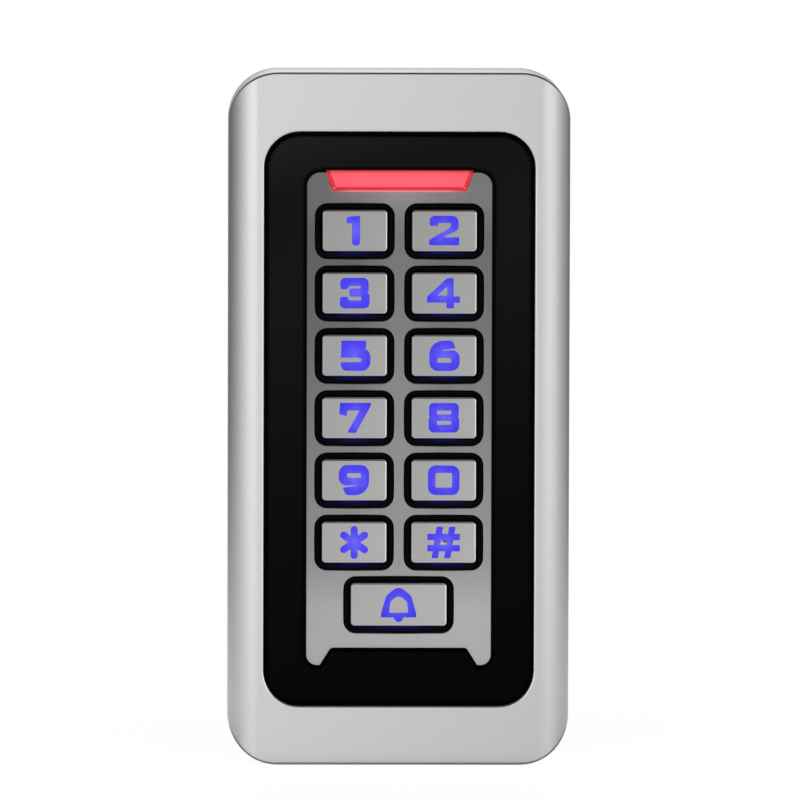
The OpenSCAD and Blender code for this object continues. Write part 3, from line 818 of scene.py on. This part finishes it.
def bowed_rectangle(w, h, r, bow, x, z):
    """A rounded rectangle whose four sides bulge a little."""
    flat = math.atan(bow / (h / 2))
    radius = 0.6 * (h / 2 - r) / math.tan(flat)
    corners = rectangle(w, h, r, x, z)
    middles = [(x + w / 2 + bow, z), (x, z + h / 2 + bow), (x - w / 2 - bow, z), (x, z - h / 2 - bow)]
    result = []
    for corner, middle in zip(corners, middles):
        result += [corner, (*middle, radius)]
    return result


def opening_corners(key):
    cap = KEY[key]
    return bowed_rectangle(cap.w + 2 * COLLAR_W, cap.h + 2 * COLLAR_W, OPENING_R, OPENING_BOW,
                           cap.x, cap.z - CAP_LIFT)


def faceplate_corners():
    half_w = PLATE.w / 2
    half_h = PLATE.h / 2
    bottom = LENS_TOP - LENS_H - BEZEL_GAP
    bottom_x = LENS_BOTTOM_W / 2 + BEZEL_GAP
    top_x = bottom_x + (half_h - bottom) * LENS_LEAN
    return [
        (half_w, -half_h, PLATE_R), (half_w, half_h, PLATE_R), (top_x, half_h, 0),
        (bottom_x, bottom, LENS_R), (-bottom_x, bottom, LENS_R), (-top_x, half_h, 0),
        (-half_w, half_h, PLATE_R), (-half_w, -half_h, PLATE_R)
    ]


def rounded_edge(skin, corners, radius, front, outward):
    """Loops that round an edge, from the flat front to the side. `outward` is 1 for an opening."""
    return [skin.loop(outline(grown(corners, outward * radius * (1 - s))), front - radius * (1 - c))
            for s, c in quarter(4)]


def make_faceplate(material):
    skin = Skin()
    edge = rounded_edge(skin, faceplate_corners(), OPENING_EDGE, PLATE.front, -1)
    openings = [rounded_edge(skin, opening_corners(key), OPENING_EDGE, PLATE.front, 1) for key in KEYS]
    skin.fill(edge[0], [loops[0] for loops in openings])
    backs = [skin.loop(outline(faceplate_corners()), PLATE.back)]
    backs += [skin.loop(outline(opening_corners(key)), PLATE.back) for key in KEYS]
    for loops, back in zip([edge, *openings], backs):
        skin.chain([*loops, back])
    skin.fill(backs[0], backs[1:])
    plate = skin.build("face_panel", material)
    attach(plate, FIXED_BODY)
    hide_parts("faceplate")


def lens_corners(inset):
    """The lens's outline. Its top edge isn't bevelled, so only the other three sides come in."""
    bottom = LENS_TOP - LENS_H + inset
    top_x = LENS_TOP_W / 2 - inset
    bottom_x = LENS_BOTTOM_W / 2 - inset
    return [(-bottom_x, bottom, LENS_R), (bottom_x, bottom, LENS_R), (top_x, LENS_TOP, 0),
            (-top_x, LENS_TOP, 0)]


def make_lens(material):
    skin = Skin()
    steps = [
        (0, PLATE.back - OVERLAP), (0, LENS.front - LENS_BEVEL),
        (LENS_BEVEL - 0.08, LENS.front - 0.03), (LENS_BEVEL, LENS.front)
    ]
    loops = [skin.loop(outline(lens_corners(inset)), depth) for inset, depth in steps]
    skin.chain(loops)
    skin.fill(loops[0])
    skin.fill(loops[-1])
    skin.prism(outline(rectangle(LENS.w, LENS.h - 0.4, 0.4, 0, LENS.z - 0.2)), LENS.back, PLATE.back)
    lens = skin.build("status_lens", material)
    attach(lens, FIXED_BODY)
    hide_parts("indicator_lens")


def make_silicone(material):
    """The keypad's sheet of silicone: a wall all round, a sheet, and a collar round each key. Its
    floors lie deep enough for a pressed key."""
    skin = Skin()
    sheet = rectangle(MAT.w, MAT.h, MAT_R)
    hollow = rectangle(MAT.w - 2 * MAT_WALL, MAT.h - 2 * MAT_WALL, 2)
    sheet_back = PLATE.back - SHEET_T
    collar_front = MAT.front
    floor_front = sheet_back - FLOOR_RECESS - KEY_TRAVEL
    floor_back = floor_front - FLOOR_T
    outer = [
        skin.loop(outline(hollow), sheet_back), skin.loop(outline(hollow), MAT.back),
        skin.loop(outline(sheet), MAT.back), skin.loop(outline(sheet), PLATE.back)
    ]
    skin.chain(outer)
    fronts = []
    floors = []
    for key in KEYS:
        cap = KEY[key]
        collar = grown(opening_corners(key), -FIT_GAP)
        gap = rectangle(cap.w + 2 * KEY_GAP, cap.h + 2 * KEY_GAP, 1, cap.x, cap.z)
        edge = rounded_edge(skin, collar, COLLAR_EDGE, collar_front, -1)
        base = skin.loop(outline(collar), PLATE.back)
        skin.chain([*edge, base])
        fronts.append(base)
        lip = rounded_edge(skin, gap, COLLAR_LIP, collar_front, 1)
        pit = skin.loop(outline(gap), floor_front)
        skin.fill(edge[0], [lip[0]])
        skin.chain([*lip, pit])
        skin.fill(pit)
        floor = rectangle(cap.w + 2, cap.h + 2, 1.5, cap.x, cap.z)
        under = [skin.loop(outline(floor), sheet_back), skin.loop(outline(floor), floor_back)]
        skin.chain(under)
        skin.fill(under[-1])
        floors.append(under[0])
        skin.bar(cap.x, cap.z, NUB_R, floor_back - NUB_H, floor_back + OVERLAP)
    skin.fill(outer[-1], fronts)
    skin.fill(outer[0], floors)
    mat = skin.build("silicone_mat", material)
    map_painted_leaks(mat)
    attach(mat, FIXED_BODY)
    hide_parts("key_mat")


def map_painted_leaks(mat):
    """Maps each point by its key, to place the painted blue glow: across the cap from its middle, and
    millimetres below the cap.
    """
    layer = mat.data.uv_layers.new(name=PAINTED_LEAK_MAP)
    for loop in mat.data.loops:
        x, _, z = mat.data.vertices[loop.vertex_index].co / MM
        cap = min(KEY.values(), key=lambda k: max(abs(x - k.x) / k.w, abs(z - k.z) / k.h))
        layer.data[loop.index].uv = ((x - cap.x) / (cap.w / 2), cap.bottom - z)


def legend_cutter(key):
    """A copy of a legend that stands proud of its cap, so that it cuts the cap's front cleanly."""
    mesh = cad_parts["legend_" + key].data.copy()
    front = min(vertex.co.y for vertex in mesh.vertices)
    for vertex in mesh.vertices:
        if vertex.co.y < front + 0.01 * MM:
            vertex.co.y -= 0.1 * MM
    return placed("cutter", mesh)


def make_cap(key, material):
    """A metal cap with rounded edges, cut through by its legend."""
    cap = KEY[key]
    skin = Skin()
    edge = rounded_edge(skin, rectangle(cap.w, cap.h, CAP_R, cap.x, cap.z), CAP_EDGE, cap.front, -1)
    skirt = skin.loop(outline(rectangle(cap.w, cap.h, CAP_R, cap.x, cap.z)), cap.back)
    skin.chain([*edge, skirt])
    skin.fill(edge[0])
    skin.fill(skirt)
    obj = skin.build("cap_" + key, material, cutters=[legend_cutter(key)])
    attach(obj, "button_" + key)
    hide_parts("key_" + key)


# ---- stage, lights and camera ----

def make_floor():
    """A pale, lit disc that fades out into the white of the studio. It lights the object only from
    further off, and from below it can't be seen."""
    surface = Surface("pale_floor", Roughness=0.8, Emission_Color=(1, 1, 1, 1))
    surface.colour(surface.ramp(surface.noise(40), (0.3, grey(0.55)), (0.7, grey(0.58))))
    seen = surface.tree.nodes.new("ShaderNodeLightPath").outputs["Is Camera Ray"]
    reach = surface.length(surface.axis("X"), surface.axis("Y"))
    aside = surface.math("MULTIPLY", surface.math("ABSOLUTE", surface.axis("X")), 0.42)
    around = surface.math("MAXIMUM", aside, surface.math("ABSOLUTE", surface.axis("Y")))
    glow = surface.math("MULTIPLY", surface.scaled(around, 0.05, 0.65, 25, 30),
                        surface.math("SUBTRACT", 1, seen))
    surface.link(surface.math("MULTIPLY_ADD", seen, 0.88, glow), surface.shader.inputs["Emission Strength"])
    from_below = surface.tree.nodes.new("ShaderNodeNewGeometry").outputs["Backfacing"]
    surface.link(surface.math("MULTIPLY", surface.scaled(reach, 1, 0, FLOOR_R * 0.3, FLOOR_R * 0.95),
                              surface.math("SUBTRACT", 1, from_below)), surface.shader.inputs["Alpha"])
    bpy.ops.mesh.primitive_circle_add(vertices=96, radius=FLOOR_R * MM, fill_type="NGON",
                                      location=(0, 0, HOUSING.bottom * MM - 0.0002))
    floor = bpy.context.object
    floor.name = "floor"
    floor.data.materials.append(surface.material)


def make_world():
    """A studio of white panels with dark gaps at the object's sides, overhead and underfoot."""
    world = bpy.data.worlds.new("studio")
    bpy.context.scene.world = world
    world.use_nodes = True
    nodes = Nodes(world.node_tree)
    direction = nodes.tree.nodes.new("ShaderNodeTexCoord").outputs["Generated"]
    forward = nodes.math("MULTIPLY", nodes.part(direction, "Y"), -1)
    angle = nodes.math("ARCTAN2", nodes.part(direction, "X"), forward)
    turn = nodes.math("MULTIPLY_ADD", angle, 1 / math.tau, 0.5)
    around = nodes.ramp(turn, *[(0.5 + degrees / 360, grey(level)) for degrees, level in STUDIO])
    up = nodes.part(direction, "Z")
    overhead = nodes.ramp(up, (0.25, grey(1)), (0.6, grey(0.04)), (0.93, grey(0.04)), (1.0, grey(0.3)))
    underfoot = nodes.scaled(up, 0.4, 1, -0.3, 0)
    lit = nodes.tree.nodes.new("ShaderNodeBackground")
    nodes.link(around, lit.inputs["Color"])
    nodes.link(nodes.math("MULTIPLY", overhead, underfoot), lit.inputs["Strength"])
    shown = nodes.tree.nodes["Background"]
    shown.inputs["Color"].default_value = (1, 1, 1, 1)
    mix = nodes.tree.nodes.new("ShaderNodeMixShader")
    nodes.link(nodes.tree.nodes.new("ShaderNodeLightPath").outputs["Is Camera Ray"], mix.inputs[0])
    nodes.link(lit.outputs[0], mix.inputs[1])
    nodes.link(shown.outputs[0], mix.inputs[2])
    nodes.link(mix.outputs[0], nodes.tree.nodes["World Output"].inputs["Surface"])


def make_camera():
    """A long lens, slightly above and a degree to the left of straight on."""
    azimuth, elevation, roll = (math.radians(a) for a in (-1.02, 4.22, 0.16))
    distance = 2.2
    aim = Vector((0.16 * MM, -HOUSING.front * MM, 4.11 * MM))
    back = Vector((math.sin(azimuth) * math.cos(elevation),
                   -math.cos(azimuth) * math.cos(elevation), math.sin(elevation)))
    data = bpy.data.cameras.new("camera")
    data.sensor_width = 36
    data.lens = 474
    camera = bpy.data.objects.new("camera", data)
    bpy.context.scene.collection.objects.link(camera)
    right = Vector((math.cos(azimuth), math.sin(azimuth), 0))
    up = back.cross(right)
    turned = Matrix((right * math.cos(roll) + up * math.sin(roll),
                     up * math.cos(roll) - right * math.sin(roll), back)).transposed()
    camera.matrix_world = Matrix.Translation(aim + back * distance) @ turned.to_4x4()
    bpy.context.scene.camera = camera


# ---- the scene ----

def paint(node, material):
    """A CAD node keeps its shape and gets a better material."""
    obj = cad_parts[node]
    obj.data.materials.clear()
    obj.data.materials.append(material)


def finish_cad_nodes():
    """Materials of the CAD nodes that are shown as they are."""
    matt_black = dict(dark=grey(0.012), light=grey(0.022), grain=0.3, rough=(0.6, 0.75), relief=0.01)
    steel = dict(dark=grey(0.5), light=grey(0.62), grain=0.2, rough=(0.28, 0.4), relief=0.003)
    looks = {
        "bezel_seal": ("seal_foam", matt_black, {}),
        "main_board": ("board_laminate", dict(dark=(0.01, 0.09, 0.03), light=(0.02, 0.14, 0.05), grain=0.8,
                                              rough=(0.3, 0.45), relief=0.01), {}),
        "tact_switches": ("switch_metal", steel, dict(Metallic=1)),
        "backlight_leds": ("backlight_led", dict(dark=(0.3, 0.3, 0.9), light=(0.4, 0.4, 1), grain=0.4,
                                                 rough=(0.2, 0.3), relief=0.002), {}),
        "status_leds": ("status_led", dict(dark=grey(0.8), light=grey(0.88), grain=0.4,
                                           rough=(0.3, 0.4), relief=0.002), {}),
        "antenna_coil": ("coil_copper", dict(dark=(0.35, 0.12, 0.04), light=(0.6, 0.26, 0.1), grain=0.12,
                                             rough=(0.25, 0.4), relief=0.03), dict(Metallic=0.9)),
        "buzzer": ("buzzer_plastic", matt_black, {}),
        "relay": ("relay_plastic", dict(dark=grey(0.75), light=grey(0.82), grain=0.5,
                                        rough=(0.3, 0.4), relief=0.003), {}),
        "capacitor": ("capacitor_can", dict(dark=grey(0.4), light=grey(0.55), grain=0.3,
                                            rough=(0.2, 0.35), relief=0.002), dict(Metallic=0.9)),
        "microcontroller": ("chip_plastic", matt_black, {}),
        "wire_connector": ("connector_plastic", dict(dark=(0.7, 0.67, 0.55), light=(0.78, 0.76, 0.66),
                                                     grain=0.4, rough=(0.4, 0.5), relief=0.004), {}),
        "tamper_sensor": ("sensor_ceramic", dict(dark=(0.5, 0.36, 0.2), light=(0.62, 0.47, 0.3), grain=0.3,
                                                 rough=(0.4, 0.5), relief=0.003), {}),
        "tamper_window": ("window_clear", dict(dark=(0.8, 0.86, 0.88), light=(0.86, 0.92, 0.94),
                                               grain=0.5, rough=(0.05, 0.12), relief=0.001),
                          dict(Transmission_Weight=0.9)),
        "board_screws": ("screw_steel", steel, dict(Metallic=1)),
        "bezel_screws": ("screw_steel", steel, dict(Metallic=1)),
        "rear_cover_screws": ("screw_steel", steel, dict(Metallic=1)),
        "rear_gasket": ("gasket_rubber", matt_black, {}),
        "rear_cover": ("cover_plastic", dict(dark=grey(0.018), light=grey(0.034), grain=0.35,
                                             rough=(0.5, 0.65), relief=0.02), {}),
        "cable_grommet": ("grommet_rubber", matt_black, {}),
        "wall_plate": ("plate_steel", dict(dark=grey(0.48), light=grey(0.64), grain=1.5,
                                           rough=(0.3, 0.5), relief=0.004), dict(Metallic=1)),
        "security_screw": ("security_steel", steel, dict(Metallic=1)),
    }
    for node, (slot, recipe, settings) in looks.items():
        paint(node, grained(node + "_finish", **recipe, **settings))


make_camera()
make_world()
make_floor()

make_housing(satin_zinc())
make_bezel(bezel_plastic())
make_faceplate(faceplate_metal())
make_lens(lens_red())
make_silicone(collar_silicone())
cap_finish = cap_metal()
for key in KEYS:
    make_cap(key, cap_finish)
    paint("legend_" + key, legend_blue(key))
finish_cad_nodes()

bpy.context.scene.view_settings.view_transform = "Standard"
